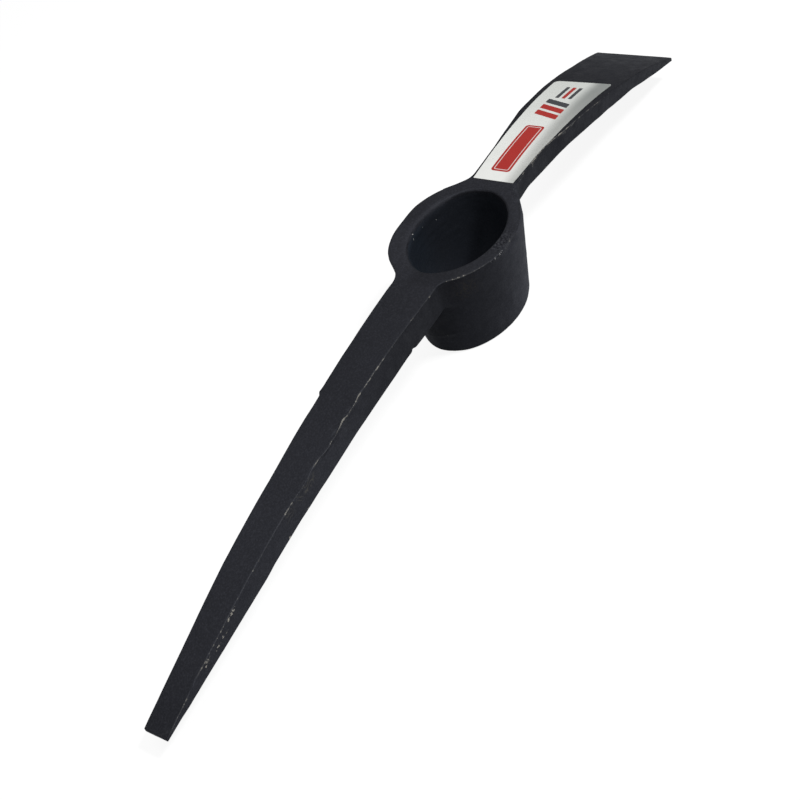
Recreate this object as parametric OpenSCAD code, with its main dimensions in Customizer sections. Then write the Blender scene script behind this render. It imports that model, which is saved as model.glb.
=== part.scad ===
// Pick axe head: a steel forging with a tapered oval eye, a pick arm, a chisel blade and a film label.
// Millimetres. Origin on the eye axis at the socket's lower face, +Z up the eye axis to the rim,
// +X toward the chisel blade.

/* [Eye socket] */
// Depth of the socket along the eye axis, lower face to rim
socket_h = 55; // [46:1:70]
// Length of the rim's outline, along the head
rim_len = 86.6; // [80:0.2:96]
// Width of the rim's outline, across the head
rim_w = 69.6; // [62:0.2:84]
// Length of the socket's outline at its lower face
foot_len = 77; // [70:0.5:86]
// Width of the socket's outline at its lower face
foot_w = 55; // [50:0.5:66]
// Bevel round the outside of the lower face
foot_bevel = 2; // [0.5:0.1:4]
// Bevel round the outside of the rim
rim_bevel = 1.2; // [0.4:0.1:2.5]

/* [Handle eye] */
// Length of the eye at its upper mouth, where the handle's swell wedges
eye_len = 70.4; // [64:0.2:74]
// Width of the eye at its upper mouth
eye_w = 49.2; // [40:0.2:54]
// Length of the eye at the lower face, its width follows in proportion
eye_foot_len = 57.6; // [50:0.2:62]
// Bevel of the mouth's lip
lip_bevel = 1.6; // [0.4:0.1:2.5]

/* [Pick arm] */
// Distance from the eye axis to the end of the point
pick_reach = 292.5; // [240:0.5:340]
// Distance from the eye axis to where the arm starts to curve down
pick_root = 53.5; // [51:0.5:70]
// Fall of the arm's upper face at the point
pick_drop = 42.2; // [25:0.1:44]
// Width at the root
pick_root_w = 25.2; // [18:0.2:32]
// Width halfway along
pick_mid_w = 18.4; // [14:0.2:24]
// Width at the end of the point
pick_tip_w = 13.4; // [5:0.2:18]
// Thickness at the root
pick_root_t = 16.2; // [12:0.2:22]
// Length of the bevel under the point
pick_bevel = 66; // [30:1:110]
// Thickness where that bevel begins
pick_bevel_t = 11.4; // [8:0.2:15]
// Thickness at the end of the point
pick_tip_t = 2.2; // [1:0.1:6]
// Fillet between the arm's sides and the rim
pick_fillet = 5; // [2:0.5:8]

/* [Chisel blade] */
// Distance from the eye axis to the cutting edge
blade_reach = 237.5; // [210:0.5:300]
// Distance from the eye axis to where the blade starts to curve down
blade_root = 58; // [51:0.5:72]
// Fall of the blade's upper face at the cutting edge
blade_drop = 39.5; // [25:0.1:42]
// Width of the neck
neck_w = 29; // [20:0.2:36]
// Length of the even neck, from the root to where it starts to widen
neck_len = 10; // [2:0.5:20]
// Length of the flare, from the neck to the shoulders of the blade
flare_len = 49; // [25:0.5:90]
// Width at the shoulders
shoulder_w = 40.4; // [37:0.2:50]
// Width of the cutting edge
edge_w = 52.8; // [42:0.2:80]
// Distance from the root to the waist, where the blade's neck is thinnest
waist_run = 22; // [12:0.5:45]
// Thickness at the waist
waist_t = 12; // [9:0.2:16]
// Length of the bevel under the cutting edge
blade_bevel = 47.5; // [20:0.5:70]
// Thickness where that bevel begins
blade_bevel_t = 8.1; // [6:0.1:11]
// Thickness of the cutting edge
edge_t = 2.8; // [1:0.1:5]
// Fillet between the neck's sides and the rim
neck_fillet = 4; // [2:0.5:8]

/* [Roots] */
// Fillet between the socket's wall and the underside of each arm
under_fillet = 6; // [2:0.5:10]

/* [Label] */
// Distance from the eye axis to the label's near end
label_start = 43.5; // [41:0.5:56]
// Length of the label along the head
label_len = 119; // [80:0.5:140]
// Distance of the near end's corners from the neck's edges
label_near_in = 1.9; // [1.7:0.1:6]
// Distance of the far end from the blade's left edge
label_left_in = 5.2; // [1:0.1:8]
// Distance of the far end from the blade's right edge
label_right_in = 3.2; // [1:0.1:8]
// Radius of the far corners
label_corner = 4; // [1:0.5:8]
// Thickness of the film
label_t = 0.2; // [0.1:0.05:0.5]
// Thickness of the glue that holds the film off the steel
glue_t = 0.1; // [0.08:0.01:0.3]

/* [Hidden] */
$fn = 200;

// How far a cut runs past the face it opens
over = 1;
// Sides of the ovals that shape the socket's wall, and the thickness of those ovals
wall_facets = 72;
skin = 0.02;
// Width of the tools that shape the arms, clear of the widest one
broad = 2 * max(edge_w, shoulder_w, pick_root_w);

// Fall of a circular arc of radius r at a distance u from its level point
function arc_fall(r, u) = r - sqrt(r * r - u * u);
// Radius of the arc that falls by d over a distance u from its level point
function arc_r(u, d) = (u * u + d * d) / (2 * d);

// Lean of the eye's wall, outward for each unit of height
eye_slope = (eye_len - eye_foot_len) / 2 / socket_h;

// Pick arm: the upper arc, and a lower arc that ends at the point's bevel
pick_top_r = arc_r(pick_reach - pick_root, pick_drop);
pick_bevel_x = pick_reach - pick_bevel;
pick_bevel_z = socket_h - arc_fall(pick_top_r, pick_bevel_x - pick_root) - pick_bevel_t;
pick_low_z = socket_h - pick_root_t;
pick_low_r = arc_r(pick_bevel_x - pick_root, pick_low_z - pick_bevel_z);
pick_tip_z = socket_h - pick_drop - pick_tip_t;
pick_mid_x = (pick_root + pick_reach) / 2;

// Chisel blade: the same, with the lower arc level at the waist
neck_end = blade_root + neck_len;
shoulder_x = neck_end + flare_len;
waist_x = blade_root + waist_run;
blade_top_r = arc_r(blade_reach - blade_root, blade_drop);
blade_bevel_x = blade_reach - blade_bevel;
blade_bevel_z = socket_h - arc_fall(blade_top_r, blade_bevel_x - blade_root) - blade_bevel_t;
waist_z = socket_h - arc_fall(blade_top_r, waist_x - blade_root) - waist_t;
blade_low_r = arc_r(blade_bevel_x - waist_x, waist_z - blade_bevel_z);
edge_z = socket_h - blade_drop - edge_t;
neck_z = waist_z - arc_fall(blade_low_r, waist_run);

// Label: its far end, and the half width of the blade there
label_end = label_start + label_len;
flare_k = (edge_w - shoulder_w) / 2 / (blade_reach - shoulder_x);
label_seat = shoulder_w / 2 + flare_k * (label_end - shoulder_x);

// Plan of the socket at a height, as [length, width]
function wall_at(z) = [
    foot_len + (rim_len - foot_len) * z / socket_h,
    foot_w + (rim_w - foot_w) * z / socket_h
];
// Half length of an oval of the given size at a distance y from its long axis
function oval_x(size, y) = size[0] / 2 * sqrt(1 - pow(2 * y / size[1], 2));

// A thin oval slice of the wall
module wall_slice(size, z) {
    translate([0, 0, z])
        linear_extrude(skin)
            scale([1, size[1] / size[0]])
                circle(d = size[0], $fn = wall_facets);
}

module socket_outside() {
    hull() {
        wall_slice([foot_len - 2 * foot_bevel, foot_w - 2 * foot_bevel], 0);
        wall_slice(wall_at(foot_bevel), foot_bevel);
        wall_slice(wall_at(socket_h - rim_bevel), socket_h - rim_bevel - skin);
        wall_slice([rim_len - 2 * rim_bevel, rim_w - 2 * rim_bevel], socket_h - skin);
    }
}

// The eye is a true oval cone, turned in quarters and narrowed across the head
module handle_eye() {
    quarter = 90;
    for (turn = [0 : quarter : 270])
        scale([1, eye_w / eye_len, 1])
            rotate([0, 0, turn])
                rotate_extrude(angle = quarter)
                    polygon([
                        [0, -over],
                        [eye_foot_len / 2 - eye_slope * over, -over],
                        [eye_len / 2 - eye_slope * lip_bevel, socket_h - lip_bevel],
                        [eye_len / 2 + lip_bevel + over, socket_h + over],
                        [0, socket_h + over]
                    ]);
}

// Short stub that carries an arm out of the wall, with fillets at its sides and below
module stub(root, w, low_z, r) {
    start_x = eye_foot_len / 2;
    // Centre of a side fillet, and the points where it leaves the arm and meets the wall
    side_y = w / 2 + r;
    side_x = oval_x([rim_len + 2 * r, rim_w + 2 * r], side_y);
    meet = [side_x * rim_len / (rim_len + 2 * r), side_y * rim_w / (rim_w + 2 * r)];
    fade = [oval_x(wall_at(low_z), side_y), side_y];
    low_x = oval_x(wall_at(low_z - under_fillet), 0) + under_fillet;
    translate([start_x, -w / 2, low_z])
        cube([root - start_x, w, socket_h - low_z]);
    translate([0, 0, low_z])
        linear_extrude(socket_h - rim_bevel - low_z)
            difference() {
                polygon([
                    [start_x, -fade[1]],
                    [fade[0], -fade[1]],
                    [meet[0], -meet[1]],
                    [side_x, -w / 2],
                    [side_x, w / 2],
                    meet,
                    fade,
                    [start_x, fade[1]]
                ]);
                for (s = [-1, 1])
                    translate([side_x, s * side_y])
                        circle(r = r);
            }
    difference() {
        translate([start_x, -w / 2, low_z - under_fillet])
            cube([low_x - start_x, w, under_fillet]);
        translate([low_x, 0, low_z - under_fillet])
            rotate([90, 0, 0])
                cylinder(h = broad, r = under_fillet, center = true);
    }
}

// Arm that points along +X, cut from its plan outline by two arcs and the bevel under its end
module curved_arm(root, reach, top_r, low_x, low_z, low_r, bevel_x, bevel_z, tip_z) {
    fall = (bevel_z - tip_z) / (reach - bevel_x);
    floor_z = tip_z - low_r;
    difference() {
        intersection() {
            translate([0, 0, tip_z - over])
                linear_extrude(socket_h - tip_z + 2 * over)
                    children();
            translate([root, 0, socket_h - top_r])
                rotate([90, 0, 0])
                    cylinder(h = broad, r = top_r, center = true);
        }
        translate([low_x, 0, low_z - low_r])
            rotate([90, 0, 0])
                cylinder(h = broad, r = low_r, center = true);
        rotate([90, 0, 0])
            linear_extrude(broad, center = true)
                polygon([
                    [bevel_x, bevel_z],
                    [bevel_x, floor_z],
                    [reach + over, floor_z],
                    [reach + over, tip_z - over * fall]
                ]);
    }
}

module eye_socket() {
    color([0.14, 0.14, 0.15])
        difference() {
            union() {
                socket_outside();
                stub(blade_root, neck_w, neck_z, neck_fillet);
                mirror([1, 0, 0])
                    stub(pick_root, pick_root_w, pick_low_z, pick_fillet);
            }
            handle_eye();
        }
}

module pick_arm() {
    color([0.13, 0.13, 0.14])
        mirror([1, 0, 0])
            curved_arm(
                pick_root, pick_reach, pick_top_r, pick_root, pick_low_z, pick_low_r,
                pick_bevel_x, pick_bevel_z, pick_tip_z
            )
                polygon([
                    [pick_root, -pick_root_w / 2],
                    [pick_mid_x, -pick_mid_w / 2],
                    [pick_reach, -pick_tip_w / 2],
                    [pick_reach, pick_tip_w / 2],
                    [pick_mid_x, pick_mid_w / 2],
                    [pick_root, pick_root_w / 2]
                ]);
}

module chisel_blade() {
    color([0.12, 0.12, 0.13])
        curved_arm(
            blade_root, blade_reach, blade_top_r, waist_x, waist_z, blade_low_r,
            blade_bevel_x, blade_bevel_z, edge_z
        )
            polygon([
                [blade_root, -neck_w / 2],
                [neck_end, -neck_w / 2],
                [shoulder_x, -shoulder_w / 2],
                [blade_reach, -edge_w / 2],
                [blade_reach, edge_w / 2],
                [shoulder_x, shoulder_w / 2],
                [neck_end, neck_w / 2],
                [blade_root, neck_w / 2]
            ]);
}

// Outline of the label, with its far corners rounded
module label_plan() {
    r = label_corner;
    near_y = neck_w / 2 - label_near_in;
    // A side's distance from the centre line where the corner's rounding begins
    function side(far) = near_y + (far - near_y) * (label_len - r) / label_len;
    function corner(far, s) = [
        for (a = [0 : 15 : 90])
            [label_end - r + r * sin(a), s * (side(far) - r + r * cos(a))]
    ];
    right = corner(label_seat - label_right_in, -1);
    left = corner(label_seat - label_left_in, 1);
    polygon(concat(
        [[label_start, near_y], [label_start, -near_y]],
        right,
        [for (i = [len(left) - 1 : -1 : 0]) left[i]]
    ));
}

// The film lies on the flat of the neck and then follows the blade's upper arc
module label() {
    low_r = blade_top_r + glue_t;
    color([0.86, 0.87, 0.87])
        intersection() {
            translate([0, 0, socket_h - blade_drop])
                linear_extrude(blade_drop + over)
                    label_plan();
            union() {
                translate([label_start - over, -broad / 2, socket_h + glue_t])
                    cube([blade_root - label_start + over, broad, label_t]);
                difference() {
                    translate([blade_root, 0, socket_h - blade_top_r])
                        rotate([90, 0, 0])
                            cylinder(h = broad, r = low_r + label_t, center = true);
                    translate([blade_root, 0, socket_h - blade_top_r])
                        rotate([90, 0, 0])
                            cylinder(h = broad + 2 * over, r = low_r, center = true);
                    translate([blade_root - 2 * low_r, -broad, socket_h - 2 * blade_top_r])
                        cube([2 * low_r, 2 * broad, 3 * blade_top_r]);
                }
            }
        }
}

eye_socket();
pick_arm();
chisel_blade();
label();
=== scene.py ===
import math
from itertools import product

import bmesh
import bpy
import numpy as np
from mathutils import Matrix, Vector


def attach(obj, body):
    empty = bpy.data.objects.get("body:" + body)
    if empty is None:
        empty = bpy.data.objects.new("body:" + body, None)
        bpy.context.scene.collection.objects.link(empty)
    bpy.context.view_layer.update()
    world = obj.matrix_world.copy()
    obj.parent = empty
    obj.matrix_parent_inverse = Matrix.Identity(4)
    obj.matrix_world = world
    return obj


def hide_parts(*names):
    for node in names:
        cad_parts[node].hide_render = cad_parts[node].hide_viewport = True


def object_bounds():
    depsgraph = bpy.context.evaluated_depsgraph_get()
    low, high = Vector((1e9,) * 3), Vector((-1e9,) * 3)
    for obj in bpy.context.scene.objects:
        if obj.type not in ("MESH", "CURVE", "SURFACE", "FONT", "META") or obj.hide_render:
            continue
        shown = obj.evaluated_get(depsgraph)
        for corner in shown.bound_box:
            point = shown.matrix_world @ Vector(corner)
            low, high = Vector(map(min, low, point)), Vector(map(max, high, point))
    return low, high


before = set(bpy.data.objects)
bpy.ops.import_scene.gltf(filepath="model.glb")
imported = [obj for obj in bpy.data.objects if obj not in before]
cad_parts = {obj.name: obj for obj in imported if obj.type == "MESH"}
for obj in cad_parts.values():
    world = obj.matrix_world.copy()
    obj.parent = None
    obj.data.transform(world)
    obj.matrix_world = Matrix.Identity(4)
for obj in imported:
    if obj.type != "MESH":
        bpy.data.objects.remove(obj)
frameLow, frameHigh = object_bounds()
scene = bpy.context.scene
mm = 0.001  # shapes are worked out in millimetres, in the frame's own axes, and scaled when a mesh is made

# Small tools for shapes


def smoothMax(a, b, k):  # the larger distance, with the corner between the two rounded over k
    h = np.maximum(k - np.abs(a - b), 0) / k
    return np.maximum(a, b) + h * h * k / 4


def smoothMin(a, b, k):
    return -smoothMax(-a, -b, k)


def ramp(v, a, b):  # 0 up to a, 1 from b on
    t = np.clip((v - a) / (b - a), 0, 1)
    return t * t * (3 - 2 * t)


def fade(*terms):  # 1 in the middle, less away from it; each term is a value, its middle and its half width
    return np.exp(-sum(((v - middle) / wide) ** 2 for v, middle, wide in terms))


def arcRadius(run, fall):
    return (run * run + fall * fall) / (2 * fall)


def arcFall(radius, run):
    return radius - np.sqrt(radius * radius - run * run)


def ovalDistance(x, y, long, wide):
    k0 = np.sqrt((x / long) ** 2 + (y / wide) ** 2)
    k1 = np.sqrt((x / long**2) ** 2 + (y / wide**2) ** 2) + 1e-6
    return k0 * (k0 - 1) / k1


def grain(points, size, seed):  # smooth lumps of about that size, from -1 to 1
    cell = (points - np.array([-300.0, -60.0, -20.0])) / size
    base = np.floor(cell).astype(int)
    part = cell - base
    part = part * part * (3 - 2 * part)
    values = np.random.default_rng(seed).uniform(-1, 1, tuple(base.max(0) + 2))
    total = np.zeros(len(points))
    for c in product((0, 1), repeat=3):
        weight = np.prod(np.where(np.array(c) == 1, part, 1 - part), axis=1)
        total += weight * values[base[:, 0] + c[0], base[:, 1] + c[1], base[:, 2] + c[2]]
    return total


def lines(low, high, coarse, fine, spots, reach):  # grid lines, closer together near the spots
    at = [low]
    while at[-1] < high:
        near = min(abs(at[-1] - s) for s in spots)
        step = fine + (coarse - fine) * float(ramp(near, 0.6, reach))
        at.append(at[-1] + step)
    return np.array(at)


# Eye socket: oval wall that leans outward to the rim, and a tapered oval eye

eyeSocket = dict(
    height=55.0, footLong=38.5, rimLong=43.3, widest=34.5, footRound=1.8,
    footLeft=27.4, rimLeft=35.4, footRight=28.8, rimRight=33.7, rimShift=0.6,
    bulge=0.8, bulgeAt=-27, bulgeWide=10,  # fuller spot in the wall, left of the pick arm
    flat=1.2, flatAt=-0.5, flatWide=4.5,  # flat spot in the rim's right edge
    rimSoft=5.0,  # extra rounding of the rim by the blade's right root
    eyeLong=35.0, eyePickLong=34.2, eyeLeft=24.2, eyeRight=25.8, eyeShift=0.8, eyeBack=0.4,
    eyeFootLong=28.8, eyeFootWide=20.1,
    lipRound=1.6, lipSoft=2.4,  # the eye's lip, and its extra rounding on the left
    evenLong=35.2, evenWide=24.5,  # even eye, from which wear and tint are measured
)

# Straight web that joins the rim to the left of the blade's root

web = dict(acrossX=0.670, acrossY=0.743, reach=39.6, lean=0.1, fromX=31, fromY=10, fromZ=42, lowRound=4.0, blend=1.2)

# Pick arm: left and right half widths along the arm, as found on the forging, which isn't even

pickArm = dict(
    root=53.5, reach=292.5, drop=42.2, rootThick=16.2, bevelStart=226.5, bevelThick=11.4, endThick=2.2,
    left=[
        (36, 13.4), (53, 13.4), (65, 12.95), (77, 12.45), (89, 11.9), (100, 11.65), (110, 11.2), (120, 10.85),
        (123.2, 10.95), (124.3, 11.4), (125.1, 9.85), (127.5, 9.7), (133, 9.5), (140, 9.6), (150, 9.4),
        (159, 9.05), (168, 8.75), (176, 8.6), (185, 8.6), (202, 8.5), (218, 8.45), (233, 7.9), (247, 7.3),
        (262, 7.0), (276, 6.95), (289, 6.9), (292.5, 6.85),
    ],
    right=[
        (36, 12.4), (53, 12.2), (73, 11.65), (98, 11.1), (119, 10.8), (140, 10.5), (163, 10.0), (182, 9.4),
        (204, 8.8), (222, 8.3), (244, 7.95), (262, 7.4), (276, 7.1), (292.5, 6.7),
    ],
    # how much thicker or thinner the right side is than an even arm
    thicker=[
        (40, 0), (50, 0.6), (60, 0.8), (68, 0.75), (76, 0.3), (80, 0.15), (86, 0.4), (92, 0.75), (104, 0.8),
        (122, 0.6), (134, 0.5), (146, 0.8), (158, 0.8), (164, 0.5), (176, 0.65), (182, 0.4), (194, 0.65),
        (206, 0.7), (208, 0.9), (212, 1.3), (218, 1.1), (224, 0.9), (230, 0.6), (242, 0.35), (260, 0.2),
        (268, 0), (272, -0.4), (284, -0.5), (289, -0.7), (292.5, -0.7),
    ],
    # flash that stands out from the right upper edge, as (distance along, overhang), and how deep it goes
    flash=[
        (60, 0), (62, 0.3), (66, 0), (104, 0), (106, -0.25), (109, 0.1), (121, -0.1), (124.7, 0.85), (132.4, 0.85),
        (135.3, -0.2), (138.6, 0.65), (142.6, 1.15), (144.8, 1.55), (147.8, 1.15), (150.6, 1.7), (154.2, 1.2),
        (158.5, 0.0), (162.5, -0.3), (166, 0.5), (170, 0.9), (175, 0.8), (180, 0.2), (185, 0), (255, 0),
        (259, 0.25), (263, -0.2), (267, -0.45), (269.2, 0.35), (272, 0), (279.5, 0.2), (284, 0),
    ],
    flashDeep=1.6,
)

# Chisel blade: the same along the blade, level underside at the waist

chiselBlade = dict(
    root=58.0, reach=237.5, drop=39.5, rootThick=13.2, waist=80.0, waistThick=12.0,
    bevelStart=190.0, bevelThick=8.1, endThick=2.8,
    left=[
        (36, 14.4), (58, 14.6), (74, 15.2), (91, 16.8), (103, 18.2), (113, 19.6), (117, 20.0), (132, 20.5),
        (150, 21.4), (170, 21.8), (192, 22.1), (214, 23.85), (224, 25.0), (237.5, 26.3),
    ],
    right=[
        (36, 14.2), (58, 14.1), (78, 14.8), (88, 16.3), (97, 18.2), (116, 20.3), (129, 21.7), (135, 22.5),
        (157, 23.3), (175, 24.4), (198, 25.5), (237.5, 26.4),
    ],
    thicker=[
        (36, -1.2), (46, -1.2), (50, -1.5), (54, -1.75), (58, -1.75), (62, -1.0), (66, -0.4), (70, 0.25),
        (74, 0.75), (78, 1.2), (86, 1.0), (90, 0.65), (94, 0.3), (98, 0.05), (102, 0.15), (110, 0.6),
        (118, 0.95), (130, 0.9), (138, 0.8), (146, 0.8), (150, 1.05), (154, 1.3), (162, 1.2), (170, 0.7),
        (178, 0.1), (198, 0), (206, 0.3), (214, 0.4), (222, 0.35), (230, 0), (234, -0.3), (237.5, -0.3),
    ],
)

# Profiles along the whole head, kept as fine tables over x

tableStep = 0.25
tableX = np.arange(-300, 246, tableStep)


def along(x, table):
    return np.interp(x, tableX, table)


def softened(values, width):
    n = int(4 * width / tableStep)
    k = np.exp(-0.5 * (np.arange(-n, n + 1) * tableStep / width) ** 2)
    return np.convolve(np.pad(values, n, mode="edge"), k / k.sum(), mode="valid")


def bothArms(key, soft):  # one table along x from the pick arm's list and the blade's
    points = [(-x, w) for x, w in reversed(pickArm[key])] + chiselBlade[key]
    return softened(np.interp(tableX, *zip(*points)), soft)


def armFall(run, arm):  # how far the upper face has dropped, that distance out from the middle
    radius = arcRadius(arm["reach"] - arm["root"], arm["drop"])
    return arcFall(radius, np.maximum(run - arm["root"], 0))


def underside(run, arm, level, bevelZ, arcStart, arcSpan):  # an arc down to the bevel, then straight to the end
    radius = arcRadius(arm["bevelStart"] - arcStart, level - bevelZ)
    arc = level - arcFall(radius, np.clip(run - arcStart, *arcSpan))
    endZ = eyeSocket["height"] - arm["drop"] - arm["endThick"]
    slope = (bevelZ - endZ) / (arm["reach"] - arm["bevelStart"])
    return np.where(run > arm["bevelStart"], bevelZ - slope * (run - arm["bevelStart"]), arc)


def lowerFace(upper):
    p, b = pickArm, chiselBlade
    pickBevel = float(along(-p["bevelStart"], upper)) - p["bevelThick"]
    pickLow = underside(-tableX, p, eyeSocket["height"] - p["rootThick"], pickBevel, p["root"], (0, 240))
    bladeBevel = float(along(b["bevelStart"], upper)) - b["bevelThick"]
    bladeLevel = float(along(b["waist"], upper)) - b["waistThick"]
    bladeLow = underside(tableX, b, bladeLevel, bladeBevel, b["waist"], (-22, 170))
    return np.where(tableX < 0, pickLow, bladeLow)


leftTable, rightTable, thickerTable = bothArms("left", 0.5), bothArms("right", 0.5), bothArms("thicker", 1.0)
flashTable = softened(np.interp(-tableX, *zip(*pickArm["flash"])), 0.6)
upperTable = eyeSocket["height"] - (armFall(-tableX, pickArm) + armFall(tableX, chiselBlade))
lowerTable = lowerFace(upperTable)
upperCos = 1 / np.sqrt(1 + np.gradient(upperTable, tableX) ** 2)
lowerCos = 1 / np.sqrt(1 + np.clip(np.gradient(lowerTable, tableX), -1, 1) ** 2)

# Distance field of the head, negative inside the steel


def flatSpot(x):
    return eyeSocket["flat"] * fade((x, eyeSocket["flatAt"], eyeSocket["flatWide"]))


def headField(x, y, z):
    s = eyeSocket
    h = np.clip(z / s["height"], -0.2, 1.2)
    # the forging isn't even: its left side is fuller than its right
    wide = np.where(
        y > 0,
        s["footLeft"] + (s["rimLeft"] - s["footLeft"]) * h,
        s["footRight"] + (s["rimRight"] - s["footRight"]) * h,
    )
    shift = s["rimShift"] * h * ramp(y, 2, 14)
    wall = ovalDistance(x - shift, y, s["footLong"] + (s["rimLong"] - s["footLong"]) * h, wide)
    wall -= s["bulge"] * h * fade((x, s["bulgeAt"], s["bulgeWide"])) * ramp(y, 14, 20)
    wall = smoothMax(wall, np.abs(y) - s["widest"], 1.0)
    wall += flatSpot(x) * ramp(z, 48, 54) * (y < 0)
    wall = smoothMax(wall, -z, s["footRound"])
    flash = along(x, flashTable) * np.exp(-np.maximum(along(x, upperTable) - z, 0) / pickArm["flashDeep"])
    side = np.maximum(y - along(x, leftTable), -y - along(x, rightTable) - flash)
    ends = np.maximum(-pickArm["reach"] - x, x - chiselBlade["reach"])
    under = along(x, lowerTable) - along(x, thickerTable) * ramp(-y, -4, 9)
    edgeRound = 0.4 + 0.5 * ramp(-ends, 1, 12)  # the arms' edges are sharpest at their ends
    arm = smoothMax(side, (under - z) * along(x, lowerCos), edgeRound)
    arm = smoothMax(arm, ends, 0.35)
    # the roots run into the wall, widest on the left and tightest at the blade's right root
    body = smoothMin(arm, wall, 4.0 - 2.5 * ramp(x, 0, 30) * ramp(-y, 0, 8) + 4.0 * ramp(y, 2, 10))
    webSide = web["acrossX"] * x + web["acrossY"] * y - web["reach"] + web["lean"] * (s["height"] - z)
    webBlock = np.maximum(webSide, np.maximum(web["fromX"] - x, web["fromY"] - y))
    body = smoothMin(body, smoothMax(webBlock, web["fromZ"] - z, web["lowRound"]), web["blend"])
    # the rim's outer edge is crisp, and rounder by the blade's right root
    rimRound = edgeRound + s["rimSoft"] * ramp(x, 4, 18) * (1 - ramp(x, 28, 35)) * ramp(-y, 8, 15)
    body = smoothMax(body, (z - along(x, upperTable)) * along(x, upperCos), rimRound)
    h = np.clip(z / s["height"], -0.2, 1.0)
    # the eye isn't even either: wider on the right, and a little shorter toward the pick
    eyeX = x - h * (s["eyeShift"] * ramp(y, 2, 14) - s["eyeBack"] * ramp(-y, 2, 14))
    eyeLong = np.where(eyeX > 0, s["eyeLong"], s["eyePickLong"])
    eyeWide = np.where(y > 0, s["eyeLeft"], s["eyeRight"])
    eye = ovalDistance(
        eyeX, y,
        s["eyeFootLong"] + (eyeLong - s["eyeFootLong"]) * h,
        s["eyeFootWide"] + (eyeWide - s["eyeFootWide"]) * h,
    )
    return smoothMax(body, -eye, s["lipRound"] + s["lipSoft"] * ramp(y - 0.4 * x, 2, 16))


# The surface is taken from a grid laid out for an even arm and stretched to the real one,
# so the arms' edges lie on grid lines and come out clean

grid = dict(halfWide=13.2, thick=16.2, socket=40)
gridX = np.concatenate([
    lines(-294.0, -62.0, 1.0, 0.2, [-pickArm["reach"]], 4.0)[:-1],
    lines(-62.0, 62.0, 0.7, 0.7, [0], 4.0)[:-1],
    lines(62.0, 239.0, 1.0, 0.2, [chiselBlade["reach"]], 4.0),
])
gridAcross = lines(-40.0, 40.0, 0.78, 0.2, [-grid["halfWide"], grid["halfWide"]], 3.0)
gridDown = lines(-1.9, 71.0, 0.85, 0.22, [0.0, grid["thick"]], 3.0)
share = np.clip((tableX + grid["socket"]) / (2 * grid["socket"]), 0, 1)
socketThick = (1 - share) * pickArm["rootThick"] + share * chiselBlade["rootThick"]
thickTable = np.where(np.abs(tableX) < grid["socket"], socketThick, upperTable - lowerTable)


def gridPoints():
    left, right = along(gridX, leftTable)[:, None], along(gridX, rightTable)[:, None]
    sideScale = np.where(gridAcross[None, :] > 0, left, right) / grid["halfWide"]
    thick = along(gridX, thickTable)[:, None, None]
    x = gridX[:, None, None]
    y = (gridAcross[None, :] * sideScale)[:, :, None]
    z = along(gridX, upperTable)[:, None, None] - gridDown[None, None, :] * thick / grid["thick"]
    return x, y, z


def surface(x, y, z, field):  # one point in each cell that the surface passes, one face over each edge that it cuts
    within = field < 0
    count = np.zeros(tuple(n - 1 for n in field.shape), np.int8)
    nx, ny, nz = count.shape
    for c in product((0, 1), repeat=3):
        count += within[c[0]:nx + c[0], c[1]:ny + c[1], c[2]:nz + c[2]]
    cells = np.argwhere((count > 0) & (count < 8))
    number = np.full(count.shape, -1, np.int32)
    number[tuple(cells.T)] = np.arange(len(cells))
    corners = np.array(list(product((0, 1), repeat=3)))
    at = cells[:, None, :] + corners[None]
    i, j, k = at[..., 0], at[..., 1], at[..., 2]
    value = field[i, j, k]
    place = np.stack([x[i, 0, 0], y[i, j, 0], z[i, 0, k]], axis=-1)
    total, hits = np.zeros((len(cells), 3)), np.zeros(len(cells))
    for a in range(8):
        for b in range(a + 1, 8):
            if np.abs(corners[a] - corners[b]).sum() != 1:
                continue
            cut = (value[:, a] < 0) != (value[:, b] < 0)
            t = value[cut, a] / (value[cut, a] - value[cut, b])
            total[cut] += place[cut, a] + t[:, None] * (place[cut, b] - place[cut, a])
            hits[cut] += 1
    faces = []
    for axis in range(3):
        first = np.take(within, range(within.shape[axis] - 1), axis)
        second = np.take(within, range(1, within.shape[axis]), axis)
        edge = np.argwhere(first != second)
        outward = first[tuple(edge.T)]
        p, q = [a for a in range(3) if a != axis]
        ring = []
        for dp, dq in ((-1, -1), (0, -1), (0, 0), (-1, 0)):
            cell = edge.copy()
            cell[:, p] += dp
            cell[:, q] += dq
            ring.append(number[tuple(cell.T)])
        ring = np.stack(ring, axis=1)
        if axis == 1:
            outward = ~outward
        faces.append(np.where(outward[:, None], ring, ring[:, ::-1]))
    return total / hits[:, None], np.concatenate(faces)


def fieldSlope(points):  # which way the field grows at each point, and how fast
    e, g = 0.03, []
    for axis in range(3):
        step = np.zeros(3)
        step[axis] = e
        g.append(headField(*(points + step).T) - headField(*(points - step).T))
    g = np.stack(g, axis=1) / (2 * e)
    size = np.linalg.norm(g, axis=1)
    return g / (size[:, None] + 1e-9), size


gx, gy, gz = gridPoints()
points, faces = surface(gx, gy, gz, headField(gx, gy, gz))
for turn in range(4):  # pull the points onto the surface
    normal, size = fieldSlope(points)
    points = points - normal * np.clip(headField(*points.T) / np.maximum(size, 0.5), -0.4, 0.4)[:, None]
normal = fieldSlope(points)[0]
a, b, c, d = (points[faces[:, n]] for n in range(4))
if np.einsum("ij,ij->i", np.cross(c - a, d - b), a).sum() < 0:
    faces = faces[:, ::-1]
print("head surface", len(points), "points", len(faces), "faces")

# Where a point lies on the forging: distances to the arms' long edges, the ends, the rim's edge and the eye

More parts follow.
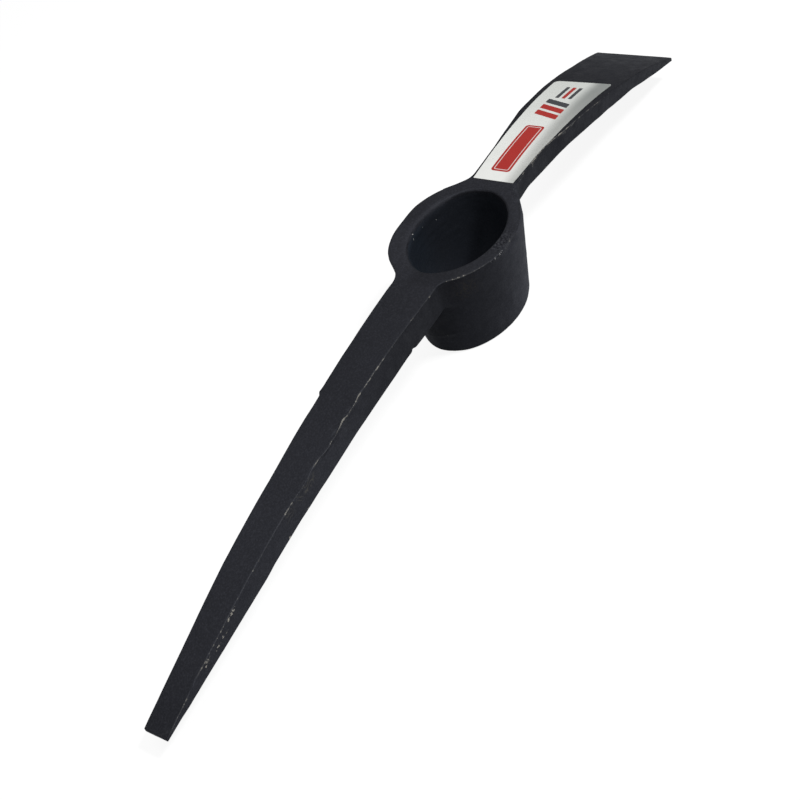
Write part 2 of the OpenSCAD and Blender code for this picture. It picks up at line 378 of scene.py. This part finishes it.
px, py, pz = points.T
rimZ = eyeSocket["height"]
upperAt, lowerAt = along(px, upperTable), along(px, lowerTable)
leftAt, rightAt = along(px, leftTable), along(px, rightTable)
flashAt = np.maximum(along(px, flashTable), 0)
below = upperAt - pz
topRight = np.hypot(py + rightAt, pz - upperAt)
topLeft = np.hypot(py - leftAt, pz - upperAt)
lowRight = np.hypot(py + rightAt, pz - lowerAt)
tipEnd = np.minimum(px + pickArm["reach"], chiselBlade["reach"] - px)
eyeEdge = ovalDistance(px, py, eyeSocket["evenLong"], eyeSocket["evenWide"])
rimOut = ovalDistance(px, py, eyeSocket["rimLong"], eyeSocket["rimRight"])
rimEdge = np.hypot(rimOut, pz - rimZ)
onArm = ramp(np.abs(px), 42, 46)
onWall = (1 - onArm) * (np.abs(normal[:, 2]) < 0.6)
onRight = (normal[:, 1] < -0.35) & (py < 0)
onTop = (normal[:, 2] > 0.8) & (eyeEdge > -0.5) & (pz > 50)
inEye = (eyeEdge < 3.0) & (pz < 54)

# Label: a film on the blade, from the neck to two thirds along, with left and right half widths

label = dict(
    start=43.5, end=162.5, corner=3.5, skew=2.2, glue=0.1, film=0.2,
    left=[
        (43.5, 12.5), (62, 13.2), (77, 13.7), (92, 14.4), (107, 15.0), (125, 16.0), (140, 16.6), (154, 17.2),
        (163, 17.5),
    ],
    right=[
        (43.5, 12.4), (49, 12.9), (59, 13.5), (68, 14.0), (76, 14.4), (89, 15.7), (103, 16.5), (116, 17.2),
        (130, 17.8), (144, 18.4), (156, 19.0), (163, 19.3),
    ],
)


def labelHalf(x):
    return np.interp(x, *zip(*label["left"])), np.interp(x, *zip(*label["right"]))


halfLeft, halfRight = labelHalf(px)
underLabel = (
    ramp(px, label["start"] - 3, label["start"]) * (1 - ramp(px, label["end"], label["end"] + 3))
    * (1 - ramp(py - halfLeft, 0, 2)) * (1 - ramp(-py - halfRight, 0, 2)) * (np.abs(pz - upperAt) < 2)
)

# Forged skin: slow waves, hammer dents and scale, rougher on the socket's wall, and nicks along the edges

forged = dict(
    broad=0.12, dents=0.07, scale=0.035, wallDents=0.03, wallScale=0.05, eyeRibs=0.08,
    lipNick=0.35, lipGrain=0.15, edgeWorn=0.04, edgeNick=0.3, edgeGrain=0.12,
    crease=0.4, notch=0.9, notchAt=-74, flash=0.3, flashGrain=0.35, ridge=0.28, parting=0.22, roughTop=0.22,
    underLabel=0.03,
)
broad, dents, scaleMarks = grain(points, 26, 3), grain(points, 9, 5), grain(points, 3.2, 8)
nicks, finer = grain(points, 4.5, 13), grain(points, 1.9, 21)
skin = forged["broad"] * broad + forged["dents"] * dents + forged["scale"] * scaleMarks
skin += onWall * (forged["wallDents"] * dents + forged["wallScale"] * scaleMarks)
skin *= 1 - 0.5 * onArm * (np.abs(normal[:, 1]) > 0.6)
skin += np.where(inEye, forged["eyeRibs"] * grain(points * np.array([0.25, 0.25, 2.6]), 6, 31), 0)
lipNear = fade((eyeEdge, -0.8, 1.1), (pz, 53.2, 1.6)) * ramp(py - 0.4 * px, 6, 16)
skin -= lipNear * (forged["lipNick"] * ramp(nicks, 0.1, 0.6) + forged["lipGrain"] * finer)
# only the right upper edge of the pick arm and of the blade's neck is nicked, the others are nearly straight
nickAt = ramp(-px, 100, 125) * (1 - ramp(-px, 185, 205)) + 0.6 * ramp(px, 56, 64) * (1 - ramp(px, 128, 140))
nickDeep = forged["edgeNick"] * ramp(nicks, 0.1, 0.7) + forged["edgeGrain"] * finer
skin -= onArm * fade((topRight, 0, 1.1)) * (forged["edgeWorn"] + nickAt * nickDeep)
# a crease under the pick arm's flash, and a notch in its right lower edge
skin -= forged["crease"] * flashAt * fade((below, 2.0, 0.7)) * (normal[:, 1] < -0.3)
skin -= forged["notch"] * fade((px, forged["notchAt"], 1.3), (lowRight, 0, 2.0))
# thin flash on the rim's right edge, which runs on as a low ridge along the flat spot
farRight = ramp(-py, 25, 28)
flashLine = fade((pz, 54.3, 0.9), (rimOut, -0.2, 0.8)) * farRight * ramp(px, -21, -17) * (1 - ramp(px, -10.3, -7))
skin += flashLine * (forged["flash"] + forged["flashGrain"] * np.maximum(finer, -0.5))
ridge = fade((pz, 54.4, 0.8), (rimOut + flatSpot(px), -0.2, 0.8)) * farRight
ridge = ridge * ramp(px, -10, -6) * (1 - ramp(px, 4, 9))
skin += forged["ridge"] * ridge
# a parting line low on the wall under the pick arm
partLine = fade((pz - 12.4 + 0.27 * py, 0, 0.7)) * ramp(-px, 28, 34) * (np.abs(py) < 12)
skin += forged["parting"] * partLine
# the rim's top is rougher on the right
roughTop = (normal[:, 2] > 0.8) * (eyeEdge > 0) * (1 - onArm) * fade((px, -2.5, 7.5), (py, -28, 5))
skin += forged["roughTop"] * roughTop * finer
skin = skin * (1 - underLabel) - forged["underLabel"] * underLabel
points = points + normal * skin[:, None]
low, high = np.array(frameLow) / mm, np.array(frameHigh) / mm
points = np.clip(points, low + 0.005, high - np.array([0.005, 0.005, 0.05]))

# How worn each point is: bare streaks along the right edges and the rim's right edge, which also stand for a painted
# highlight along them, chips near the pick's point, scuffs and flakes

wear = dict(
    # along x, as (start, end, strength)
    # the upper right edges: wear together with a painted highlight
    topRight=[
        (-291, -272, 0.66), (-266, -256, 0.75), (-256, -232, 0.5), (-232, -190, 0.42), (-188.5, -180.5, 0.86),
        (-182, -164, 0.3), (-163, -156, 0.85), (-156, -146, 0.7), (-145, -132, 0.92), (-131, -118, 0.78),
        (-117, -94, 0.72), (-94, -44, 0.4), (48, 58, 0.5), (61, 74, 0.9), (74, 92, 0.75), (92, 112, 0.7),
        (112, 140, 0.5), (140, 236, 0.25),
    ],
    bareEdge=[
        (-161, -156, 0.6), (-151, -129, 0.85), (-126, -104, 0.5), (62, 67, 0.8), (73, 99, 0.75), (104, 115, 0.5),
    ],
    lowRight=[(-290, -60, 0.1), (60, 137, 0.3), (137, 236, 0.2)],
    topLeft=[(-290, -60, 0.1), (60, 236, 0.2)],
    scuffs=[(46, 53, 0.7), (60, 72, 1.2), (74, 92, 0.75), (95, 109, 0.75), (110, 136, 0.25)],
    pickEnd=0.16, bladeEnd=0.1, rim=0.75, parting=0.3, ridge=0.42, pits=1.7, lowChip=1.3,
    strokes=[(45.5, 0.62, 2.4), (64.0, 0.85, 2.0), (98.5, 0.8, 1.3)],  # place, strength, reach down the side
    # start, end, strength, how far below the edge, spread
    chips=[(-241, -233, 1.0, 1.1, 1.3), (-253, -241, 0.78, 3.6, 1.7), (-260.5, -255, 0.98, 1.7, 2.0)],
    lowChips=[(-175.5, 1.0), (-191.5, 1.4)],  # place and half length, in the pick's lower right edge
    swirls=[(-169.5, 1.0, 5.0), (-177.0, 0.65, 2.6), (-185.0, 0.5, 4.5)],  # place, strength, half length
    # loose flakes of paint in the eye, as place and strength
    flakes=[
        (-7.4, 23.8, 53.4, 2.2), (-9.6, 23.3, 51.5, 2.4), (1.9, 24.1, 50.8, 1.3), (13.3, 22.0, 47.8, 1.9),
        (8.0, 21.4, 26.2, 1.5),
    ],
)


def band(x, spans):  # strength along x from (start, end, strength) spans
    total = np.zeros_like(x)
    for start, end, strength in spans:
        total = np.maximum(total, strength * ramp(x, start - 2, start + 2) * (1 - ramp(x, end - 2, end + 2)))
    return total


# upper right edges where they face up and to the right, lightened as wear and as a painted highlight
arrisGlint = np.clip(-2 * normal[:, 1] * normal[:, 2], 0, 1) ** 1.5 * (below < 2.5) * (normal[:, 2] > 0)
# wider bare metal along the flash and the blade's neck, with a few short strokes across the blade's side
edgeGap = np.hypot(py + rightAt + flashAt, pz - upperAt)
bareEdge = onArm * fade((edgeGap, 0, 0.62)) * band(px, wear["bareEdge"])
for spot, strength, reach in wear["strokes"]:
    bareEdge = np.maximum(bareEdge, strength * fade((px, spot, 0.9), (below, reach, reach)) * onRight)
edgeWearAndGlint = np.maximum.reduce([
    onArm * arrisGlint * band(px, wear["topRight"]),
    bareEdge,
    fade((lowRight, 0, 0.6)) * band(px, wear["lowRight"]),
    fade((topLeft, 0, 0.6)) * band(px, wear["topLeft"]),
    fade((tipEnd, 0, 0.5)) * np.where(px < 0, wear["pickEnd"], wear["bladeEnd"]),
    fade((rimEdge, 0, 0.6)) * wear["rim"] * ramp(-py, 13.5, 16) * (1 - ramp(px, -24, -12)) * (1 - onArm),
    wear["parting"] * partLine,
    wear["ridge"] * ridge,
])
chipped = np.zeros_like(px)
for start, end, strength, depth, spread in wear["chips"]:
    chipped = np.maximum(chipped, band(px, [(start, end, strength)]) * fade((below, depth, spread)) * onRight)
for spot, wide in wear["lowChips"]:
    chipped = np.maximum(chipped, wear["lowChip"] * fade((px, spot, wide), (lowRight, 0, 1.3)))
scuffed = band(px, wear["scuffs"]) * fade((below, 0.8, 0.8)) * onRight
swirled = np.zeros_like(px)
for spot, strength, wide in wear["swirls"]:
    swirl = np.exp(-(((px - spot) / wide) ** 4 + ((below - 3.0) / 3.0) ** 4))
    swirled = np.maximum(swirled, strength * swirl * onRight)
dusty = fade((px, -32, 7), (py, -21, 6), (pz, 46, 6)) * (1 - onArm)
flecked = flashLine
for *spot, strength in wear["flakes"]:
    nearest = points[np.argmin(((points - np.array(spot)) ** 2).sum(1))]
    flecked = np.maximum(flecked, strength * np.exp(-(((points - nearest) / 0.55) ** 2).sum(1)))
pitted = np.minimum(wear["pits"] * roughTop, 1.0)
# how deep into the eye a point lies, for its ribs and for the painted bluish light there, strongest toward the pick's
# end
inside = np.where(inEye, ramp(rimZ - pz, 0.6, 3.0), 0.0) * (0.5 + 0.5 * ramp(10 - px, 0, 22))

# Painted light and shade, scaled into the paint: lighter on the pick arm's right side and top further out along it,
# on the right of the wall and on most of the rim's top; darker near the arms' roots, on the blade, and on the wall in
# the corner under the pick arm, where shade falls

# painted light and shade on the arms: lighter further out on the pick arm, darker near its root and on the blade
armSideShading = np.where(px < 0, 1.32 * ramp(-px, 85, 160) - 0.4 * (1 - ramp(-px, 75, 115)), -0.3)
armTopShading = np.where(px < 0, 0.14 + 0.45 * ramp(-px, 110, 200) - 0.3 * ramp(-px, 255, 285), -0.25)
# painted light on the right of the wall, painted shade on its left under the pick arm
wallShading = 1.4 * ramp(px, -24, 6) + 0.7 * ramp(px, -14, 0) * ramp(28 - pz, 0, 18) - 1.0 * (1 - ramp(px, -43, -33))
# a painted pale spot of light low on the wall
wallShading += 0.5 * fade((px, -16, 7), (pz, 9, 7))
# more painted shade in the corner under the pick arm
wallShading -= 0.6 * (1 - ramp(px, -40, -33)) * ramp(38 - pz, 0, 10) * ramp(pz, 6, 16)
# painted light and shade on the rim's top
rimTopShading = 0.15 + 0.2 * ramp(px, 10, 25) + 0.45 * ramp(py, 4, 14) * (1 - ramp(px, -14, 10))
rimTopShading -= 0.35 * ramp(-px, 26, 36) * (1 - ramp(py, 2, 8))
paintedLightShade = armSideShading * onArm * onRight + armTopShading * onArm * (normal[:, 2] > 0.7)
paintedLightShade += wallShading * onWall * ~inEye * (py < 8) + rimTopShading * onTop * (1 - onArm)

# Materials


class Nodes:
    def __init__(self, name):
        self.material = bpy.data.materials.new(name)
        self.material.use_nodes = True
        self.tree = self.material.node_tree
        self.tree.nodes.clear()
        self.out = self.add("ShaderNodeOutputMaterial")

    def add(self, kind, inputs=None, **settings):
        node = self.tree.nodes.new(kind)
        for key, value in settings.items():
            setattr(node, key, value)
        for key, value in (inputs or {}).items():
            if isinstance(value, bpy.types.NodeSocket):
                self.tree.links.new(value, node.inputs[key])
            else:
                node.inputs[key].default_value = value
        return node

    def math(self, operation, a, b=None, c=None):
        inputs = {n: v for n, v in enumerate((a, b, c)) if v is not None}
        return self.add("ShaderNodeMath", inputs, operation=operation).outputs[0]

    def noise(self, place, scale, detail=3.0, rough=0.5):
        inputs = {"Vector": place, "Scale": scale, "Detail": detail, "Roughness": rough}
        return self.add("ShaderNodeTexNoise", inputs).outputs["Fac"]

    def span(self, value, a, b, low=0.0, high=1.0):
        inputs = {"Value": value, "From Min": a, "From Max": b, "To Min": low, "To Max": high}
        return self.add("ShaderNodeMapRange", inputs, interpolation_type="SMOOTHSTEP").outputs["Result"]

    def mix(self, factor, a, b):
        a, b = ((*v, 1) if isinstance(v, tuple) else v for v in (a, b))
        return self.add("ShaderNodeMix", {0: factor, 6: a, 7: b}, data_type="RGBA").outputs[2]

    def attribute(self, name):
        return self.add("ShaderNodeAttribute", attribute_name=name).outputs["Fac"]

    def place(self):
        return self.add("ShaderNodeTexCoord").outputs["Object"]

    def stretched(self, place, scale):
        return self.add("ShaderNodeVectorMath", {0: place, 1: scale}, operation="MULTIPLY").outputs[0]

    def bump(self, height, strength, distance):
        return self.add("ShaderNodeBump", {"Strength": strength, "Distance": distance, "Height": height}).outputs[0]

    def done(self, shader):
        self.tree.links.new(shader.outputs[0], self.out.inputs[0])
        return self.material


paint = dict(
    tone=(0.0116, 0.0120, 0.0147), shine=(0.80, 0.85, 1.0), gloss=0.2,
    eyePaintedLight=(0.0120, 0.0172, 0.0250), dust=(0.034, 0.029, 0.022), scale=(0.105, 0.1, 0.086),
    scuff=(0.16, 0.16, 0.157), rubbedSheen=(0.08, 0.08, 0.078), steel=(0.22, 0.21, 0.185),
    chip=(0.42, 0.40, 0.35), fleck=(0.32, 0.32, 0.31), speck=(0.06, 0.062, 0.066),
    pitPale=(0.036, 0.037, 0.042), pitDark=(0.002, 0.002, 0.003),
)


def blackPaint(name, roughLow, roughHigh, grainy):
    n = Nodes(name)
    place = n.place()

    def shade(factor):
        return tuple(factor * v for v in paint["tone"])

    def patchy(mark, pattern, a, b, *levels):  # a kind of wear, broken up by a pattern
        return n.math("MULTIPLY", n.attribute(mark), n.span(pattern, a, b, *levels))

    def flaked(mark, gain, pattern, a, b, start, full):  # the pattern's peaks, where that wear is strong
        raised = n.math("MULTIPLY_ADD", n.attribute(mark), gain, pattern)
        return n.math("MULTIPLY", n.span(raised, a, b), n.span(n.attribute(mark), start, full))

    cloud, patch, speck = n.noise(place, 38, 4), n.noise(place, 160, 3), n.noise(place, 900, 2)
    base = n.mix(n.span(cloud, 0.3, 0.7), shade(0.95), shade(1.05))
    base = n.mix(n.span(n.noise(place, 1100, 3, 0.7), 0.4, 0.75, 0, grainy), base, shade(2.6))
    # painted light: a lighter, bluer tint down the inside of the eye
    base = n.mix(n.span(n.attribute("inside"), 0, 1, 0, 0.8), base, paint["eyePaintedLight"])
    # the painted light and shade scale the paint's colour, a little unevenly with the clouds
    film = n.math("MULTIPLY_ADD", n.attribute("paintedLightShade"), n.span(cloud, 0.25, 0.65, 0.58, 0.62), 1.0)
    base = n.add("ShaderNodeVectorMath", {"Vector": base, "Scale": film}, operation="SCALE").outputs[0]
    # brown dust by the pick arm's root, swirls of thin scale lines and scuffs along the blade
    base = n.mix(patchy("dusty", n.noise(place, 620, 4, 0.65), 0.4, 0.68), base, paint["dust"])
    rings = n.math("PINGPONG", n.math("MULTIPLY", n.noise(place, 135, 1, 0.35), 9.0), 0.5)
    base = n.mix(patchy("swirled", rings, 0.32, 0.46, 0.04, 0.75), base, paint["scale"])
    streaks = n.noise(n.stretched(place, (0.3, 1.0, 1.0)), 640, 5, 0.7)
    base = n.mix(patchy("scuffed", streaks, 0.5, 0.66), base, paint["scuff"])
    # grey steel on the edges, broken up, over a soft rubbed band, both partly wear and partly a painted highlight
    # along the edges
    broken = n.math("ADD", n.attribute("edgeWearAndGlint"), n.math("MULTIPLY_ADD", n.noise(place, 430, 4, 0.7), 2.9, -1.45))
    edgeMask = n.math("MULTIPLY", n.span(broken, 0.55, 0.9), n.span(n.attribute("edgeWearAndGlint"), 0.06, 0.2))
    base = n.mix(n.span(n.attribute("edgeWearAndGlint"), 0.15, 0.7, 0, 0.36), base, paint["rubbedSheen"])
    base = n.mix(edgeMask, base, paint["steel"])
    # pale chips and flecks, pits in the rim's top, and fine specks all over
    base = n.mix(flaked("chipped", 0.4, n.noise(place, 760, 3, 0.6), 0.84, 0.9, 0.15, 0.4), base, paint["chip"])
    base = n.mix(flaked("flecked", 0.3, n.noise(place, 1100, 2, 0.5), 0.82, 0.92, 0.2, 0.6), base, paint["fleck"])
    pits = n.noise(place, 800, 2, 0.6)
    base = n.mix(patchy("pitted", pits, 0.5, 0.62), base, paint["pitPale"])
    base = n.mix(patchy("pitted", pits, 0.48, 0.38), base, paint["pitDark"])
    base = n.mix(n.span(n.noise(place, 1500, 2, 0.6), 0.68, 0.8, 0, 0.3), base, paint["speck"])
    uneven = n.math("ADD", n.math("MULTIPLY", patch, 0.6), n.math("MULTIPLY", speck, 0.4))
    rough = n.span(uneven, 0.3, 0.7, roughLow, roughHigh)
    # fine relief, lower on bare steel, with ribs in the eye
    height = n.math("ADD", n.math("MULTIPLY", n.noise(place, 330, 5, 0.6), 0.6), n.math("MULTIPLY", speck, 0.22))
    height = n.math("SUBTRACT", height, n.math("MULTIPLY", edgeMask, 0.15))
    ribs = n.math("MULTIPLY", n.noise(n.stretched(place, (0.22, 0.22, 1.0)), 520, 3, 0.6), n.attribute("inside"))
    height = n.math("MULTIPLY_ADD", ribs, 1.1, height)
    return n.done(n.add("ShaderNodeBsdfPrincipled", {
        "Base Color": base, "Roughness": rough, "Normal": n.bump(height, 0.4, 0.0005),
        "Specular IOR Level": paint["gloss"], "Specular Tint": (*paint["shine"], 1),
    }))


socketPaint = blackPaint("socketPaint", 0.55, 0.69, 0.55)
pickPaint = blackPaint("pickPaint", 0.48, 0.68, 0.55)
bladePaint = blackPaint("bladePaint", 0.48, 0.66, 0.45)
print("paint ready")

# The head's mesh, then one piece between each pair of cutting planes, closed where it was cut

whole = bpy.data.meshes.new("wholeHead")
whole.vertices.add(len(points))
whole.vertices.foreach_set("co", (points * mm).ravel())
whole.loops.add(len(faces) * 4)
whole.loops.foreach_set("vertex_index", faces.ravel())
whole.polygons.add(len(faces))
whole.polygons.foreach_set("loop_start", np.arange(len(faces)) * 4)
whole.update(calc_edges=True)
for attributeName, values in (
    ("edgeWearAndGlint", edgeWearAndGlint), ("chipped", chipped), ("swirled", swirled), ("scuffed", scuffed), ("dusty", dusty),
    ("flecked", flecked), ("inside", inside), ("paintedLightShade", paintedLightShade), ("pitted", pitted),
):
    whole.attributes.new(attributeName, "FLOAT", "POINT").data.foreach_set("value", values.astype(np.float32))


def pieceBetween(name, start, end, material):
    bm = bmesh.new()
    bm.from_mesh(whole)
    for at, direction in ((start, -1), (end, 1)):
        if at is None:
            continue
        cut = bmesh.ops.bisect_plane(
            bm, geom=bm.verts[:] + bm.edges[:] + bm.faces[:], dist=1e-7,
            plane_co=(at * mm, 0, 0), plane_no=(direction, 0, 0), clear_outer=True,
        )
        rim = [g for g in cut["geom_cut"] if isinstance(g, bmesh.types.BMEdge) and g.is_boundary]
        cap = bmesh.ops.edgeloop_fill(bm, edges=rim)["faces"]
        for edge in rim:
            edge.smooth = False
        bmesh.ops.triangulate(bm, faces=cap)
    bmesh.ops.recalc_face_normals(bm, faces=bm.faces[:])
    for face in bm.faces:
        face.smooth = True
    mesh = bpy.data.meshes.new(name)
    bm.to_mesh(mesh)
    bm.free()
    mesh.materials.append(material)
    obj = bpy.data.objects.new(name, mesh)
    scene.collection.objects.link(obj)
    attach(obj, "root")
    return obj


pickPiece = pieceBetween("pickArm", None, -pickArm["root"], pickPaint)
socketPiece = pieceBetween("eyeSocket", -pickArm["root"], chiselBlade["root"], socketPaint)
bladePiece = pieceBetween("chiselBlade", chiselBlade["root"], None, bladePaint)
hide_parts("pick_arm")
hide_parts("eye_socket")
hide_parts("chisel_blade")
bpy.data.meshes.remove(whole)
print("head split into", pickPiece.name, socketPiece.name, bladePiece.name)

# Label film: a thin closed sheet with rounded far corners, a framed red panel, slanted bars and short rules

labelPrint = dict(
    leftNear=(0.775, 0.785, 0.76), leftFar=(0.63, 0.65, 0.62),
    rightNear=(0.46, 0.47, 0.45), rightFar=(0.255, 0.27, 0.26),
    smudge=(0.5, 0.5, 0.47), grime=(0.3, 0.29, 0.27), gloss=0.4,
    red=(0.38, 0.026, 0.021), pale=(0.7, 0.62, 0.6), dark=(0.05, 0.052, 0.058),
    # middle, half sizes and corner
    panel=(75.5, 0.2, 23.5, 6.0, 2.0), frameOut=(75.5, 0.2, 22.1, 4.6, 1.2), frameIn=(75.5, 0.2, 21.6, 4.1, 0.8),
    # middle, half sizes, lean and colour
    strips=[
        (113, 0.5, 2.6, 8.0, 0.3, "red"), (120.5, 0.5, 2.6, 8.0, 0.3, "red"), (128, 0.5, 2.6, 8.0, 0.3, "dark"),
        (143.5, 4.6, 8.5, 1.2, 0.0, "dark"), (143.5, 0.4, 8.5, 1.2, 0.0, "red"), (143.5, -3.8, 8.5, 1.2, 0.0, "dark"),
    ],
    stripCorner=0.5,
)


def labelFilm():
    n, ink = Nodes("labelFilm"), labelPrint
    place = n.place()
    parts = n.add("ShaderNodeSeparateXYZ", {0: place}).outputs
    x, y = parts[0], parts[1]

    def panel(cx, cy, hx, hy, r, lean=0.0):  # mask of a rounded panel, sizes in millimetres
        ym = n.math("SUBTRACT", y, cy * mm)
        xm = n.math("MULTIPLY_ADD", ym, -lean, n.math("SUBTRACT", x, cx * mm))
        ax = n.math("MAXIMUM", n.math("SUBTRACT", n.math("ABSOLUTE", xm), (hx - r) * mm), 0.0)
        ay = n.math("MAXIMUM", n.math("SUBTRACT", n.math("ABSOLUTE", ym), (hy - r) * mm), 0.0)
        d = n.math("SQRT", n.math("ADD", n.math("MULTIPLY", ax, ax), n.math("MULTIPLY", ay, ay)))
        return n.span(d, (r + 0.1) * mm, (r - 0.1) * mm)

    smudge = n.noise(place, 55, 4, 0.6)
    fine = n.noise(place, 700, 3, 0.6)
    # the silver film reads darker along its right edge and toward its far end
    far = n.span(x, 0.05, 0.16)
    leftTone = n.mix(far, ink["leftNear"], ink["leftFar"])
    rightTone = n.mix(far, ink["rightNear"], ink["rightFar"])
    base = n.mix(n.span(y, -0.0035, -0.0135), leftTone, rightTone)
    base = n.mix(n.span(smudge, 0.5, 0.8, 0, 0.25), base, ink["smudge"])
    base = n.mix(panel(*ink["panel"]), base, ink["red"])
    base = n.mix(n.math("SUBTRACT", panel(*ink["frameOut"]), panel(*ink["frameIn"])), base, ink["pale"])
    for cx, cy, hx, hy, lean, colour in ink["strips"]:
        base = n.mix(panel(cx, cy, hx, hy, ink["stripCorner"], lean), base, ink[colour])
    grime = n.math("MULTIPLY", n.span(fine, 0.52, 0.72), n.span(y, -0.004, -0.013, 0, 0.4))
    base = n.mix(grime, base, ink["grime"])
    rough = n.span(smudge, 0.3, 0.7, 0.34, 0.5)
    height = n.math("ADD", n.noise(place, 70, 2), n.math("MULTIPLY", fine, 0.06))
    return n.done(n.add("ShaderNodeBsdfPrincipled", {
        "Base Color": base, "Roughness": rough, "Normal": n.bump(height, 0.2, 0.001),
        "Specular IOR Level": ink["gloss"],
    }))


def labelMesh():
    r = label["corner"]
    bend = label["end"] - r  # where the far corners begin
    corner = bend + r * np.sin(np.linspace(0, math.pi / 2, 9))
    run = np.concatenate([np.arange(label["start"], bend, 1.0), corner])
    across = np.linspace(-1, 1, 29)[None]
    left, right = labelHalf(run)
    inset = r - np.sqrt(np.maximum(r * r - np.maximum(run - bend, 0) ** 2, 0))
    ys = np.where(across > 0, across * (left - inset)[:, None], across * (right - inset * 0.4)[:, None])
    # the far end is cut a little askew
    skew = label["skew"] * np.clip((run - label["start"]) / (label["end"] - label["start"]), 0, 1) ** 2
    xs = run[:, None] - skew[:, None] * np.clip(ys / 17 * 0.5 + 0.5, 0, 1)
    zs = along(xs, upperTable)
    tilt = 1 / along(xs, upperCos)
    rows, cols = ys.shape
    bm = bmesh.new()

    def sheet(lift):
        spots = np.stack([xs * mm, ys * mm, (zs + lift * tilt) * mm], axis=-1)
        return [[bm.verts.new(spots[i, j]) for j in range(cols)] for i in range(rows)]

    under, upper = sheet(label["glue"]), sheet(label["glue"] + label["film"])
    for i in range(rows - 1):
        for j in range(cols - 1):
            bm.faces.new((upper[i][j], upper[i + 1][j], upper[i + 1][j + 1], upper[i][j + 1])).smooth = True
            bm.faces.new((under[i][j], under[i][j + 1], under[i + 1][j + 1], under[i + 1][j])).smooth = True
    ring = [(i, 0) for i in range(rows)] + [(rows - 1, j) for j in range(1, cols)]
    ring += [(i, cols - 1) for i in range(rows - 2, -1, -1)] + [(0, j) for j in range(cols - 2, 0, -1)]
    for (i, j), (k, m) in zip(ring, ring[1:] + ring[:1]):
        bm.faces.new((under[i][j], under[k][m], upper[k][m], upper[i][j]))
    bmesh.ops.recalc_face_normals(bm, faces=bm.faces[:])
    for edge in bm.edges:
        if len(edge.link_faces) == 2 and edge.calc_face_angle() > 0.8:
            edge.smooth = False
    mesh = bpy.data.meshes.new("bladeLabel")
    bm.to_mesh(mesh)
    bm.free()
    return mesh


labelSheet = labelMesh()
labelSheet.materials.append(labelFilm())
labelPiece = bpy.data.objects.new("bladeLabel", labelSheet)
scene.collection.objects.link(labelPiece)
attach(labelPiece, "root")
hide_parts("label")
print("label on the blade")

# Pale floor, white to the camera, that keeps the soft shadow

studio = dict(
    floorHalf=6, floor=(0.288, 0.295, 0.315), shadow=(0.16, 0.16, 0.16), glow=0.9,
    shine=(0.9, 0.93, 1), shineGlow=0.31, sky=0.175,
    # name, place, size and power, aimed at the head
    boxes=[("rightBox", (0.289, -0.649, 1.23), 0.24, 14.2), ("upperBox", (-0.25, 0.0, 1.5), 1.0, 6.2)],
    aim=(0, 0, 0.03),
)
half = studio["floorHalf"]
floorMesh = bpy.data.meshes.new("floor")
floorMesh.from_pydata([(-half, -half, 0), (half, -half, 0), (half, half, 0), (-half, half, 0)], [], [(0, 1, 2, 3)])
floor = bpy.data.objects.new("floor", floorMesh)
scene.collection.objects.link(floor)


def floorPaint():
    n = Nodes("floorPaint")
    rays = n.add("ShaderNodeLightPath").outputs
    plain = n.add("ShaderNodeBsdfDiffuse", {"Color": (*studio["floor"], 1)}).outputs[0]
    thin = n.add("ShaderNodeBsdfDiffuse", {"Color": (*studio["shadow"], 1)}).outputs[0]
    glow = n.add("ShaderNodeEmission", {"Color": (1, 1, 1, 1), "Strength": studio["glow"]}).outputs[0]
    soft = n.add("ShaderNodeEmission", {"Color": (*studio["shine"], 1), "Strength": studio["shineGlow"]}).outputs[0]
    toCamera = n.add("ShaderNodeAddShader", {0: thin, 1: glow}).outputs[0]
    toShine = n.add("ShaderNodeAddShader", {0: plain, 1: soft}).outputs[0]
    hidden = n.add("ShaderNodeMixShader", {0: rays["Is Glossy Ray"], 1: plain, 2: toShine}).outputs[0]
    return n.done(n.add("ShaderNodeMixShader", {0: rays["Is Camera Ray"], 1: hidden, 2: toCamera}))


floorMesh.materials.append(floorPaint())

# Plain soft studio light: even sky, white to the camera, a softbox to the right and one above

world = bpy.data.worlds.new("studio")
scene.world = world
world.use_nodes = True
tree = world.node_tree
tree.nodes.clear()
seen = tree.nodes.new("ShaderNodeMixShader")
tree.links.new(tree.nodes.new("ShaderNodeLightPath").outputs["Is Camera Ray"], seen.inputs[0])
for socket, strength in ((1, studio["sky"]), (2, 1.0)):
    sky = tree.nodes.new("ShaderNodeBackground")
    sky.inputs[0].default_value = (1, 1, 1, 1)
    sky.inputs[1].default_value = strength
    tree.links.new(sky.outputs[0], seen.inputs[socket])
tree.links.new(seen.outputs[0], tree.nodes.new("ShaderNodeOutputWorld").inputs[0])


def softbox(name, place, size, power):
    light = bpy.data.lights.new(name, "AREA")
    light.shape, light.size, light.energy = "SQUARE", size, power
    obj = bpy.data.objects.new(name, light)
    back = (Vector(place) - Vector(studio["aim"])).normalized()
    obj.matrix_world = Matrix.Translation(place) @ back.to_track_quat("Z", "Y").to_matrix().to_4x4()
    scene.collection.objects.link(obj)
    obj.visible_camera = False


for box in studio["boxes"]:
    softbox(*box)
print("light set")

# Camera as the photograph was taken

camera = bpy.data.objects.new("camera", bpy.data.cameras.new("camera"))
camera.data.sensor_width, camera.data.lens = 36, 49.5
camera.data.clip_start, camera.data.clip_end = 0.01, 50
camera.matrix_world = Matrix((
    (0.49452071, 0.70316267, -0.51089287, -0.3802599),
    (-0.83618281, 0.22449996, -0.50039791, -0.2901580),
    (-0.23716571, 0.67465697, 0.69899242, 0.4125329),
    (0, 0, 0, 1),
))
scene.collection.objects.link(camera)
scene.camera = camera
scene.view_settings.view_transform = "Standard"

bpy.context.view_layer.update()
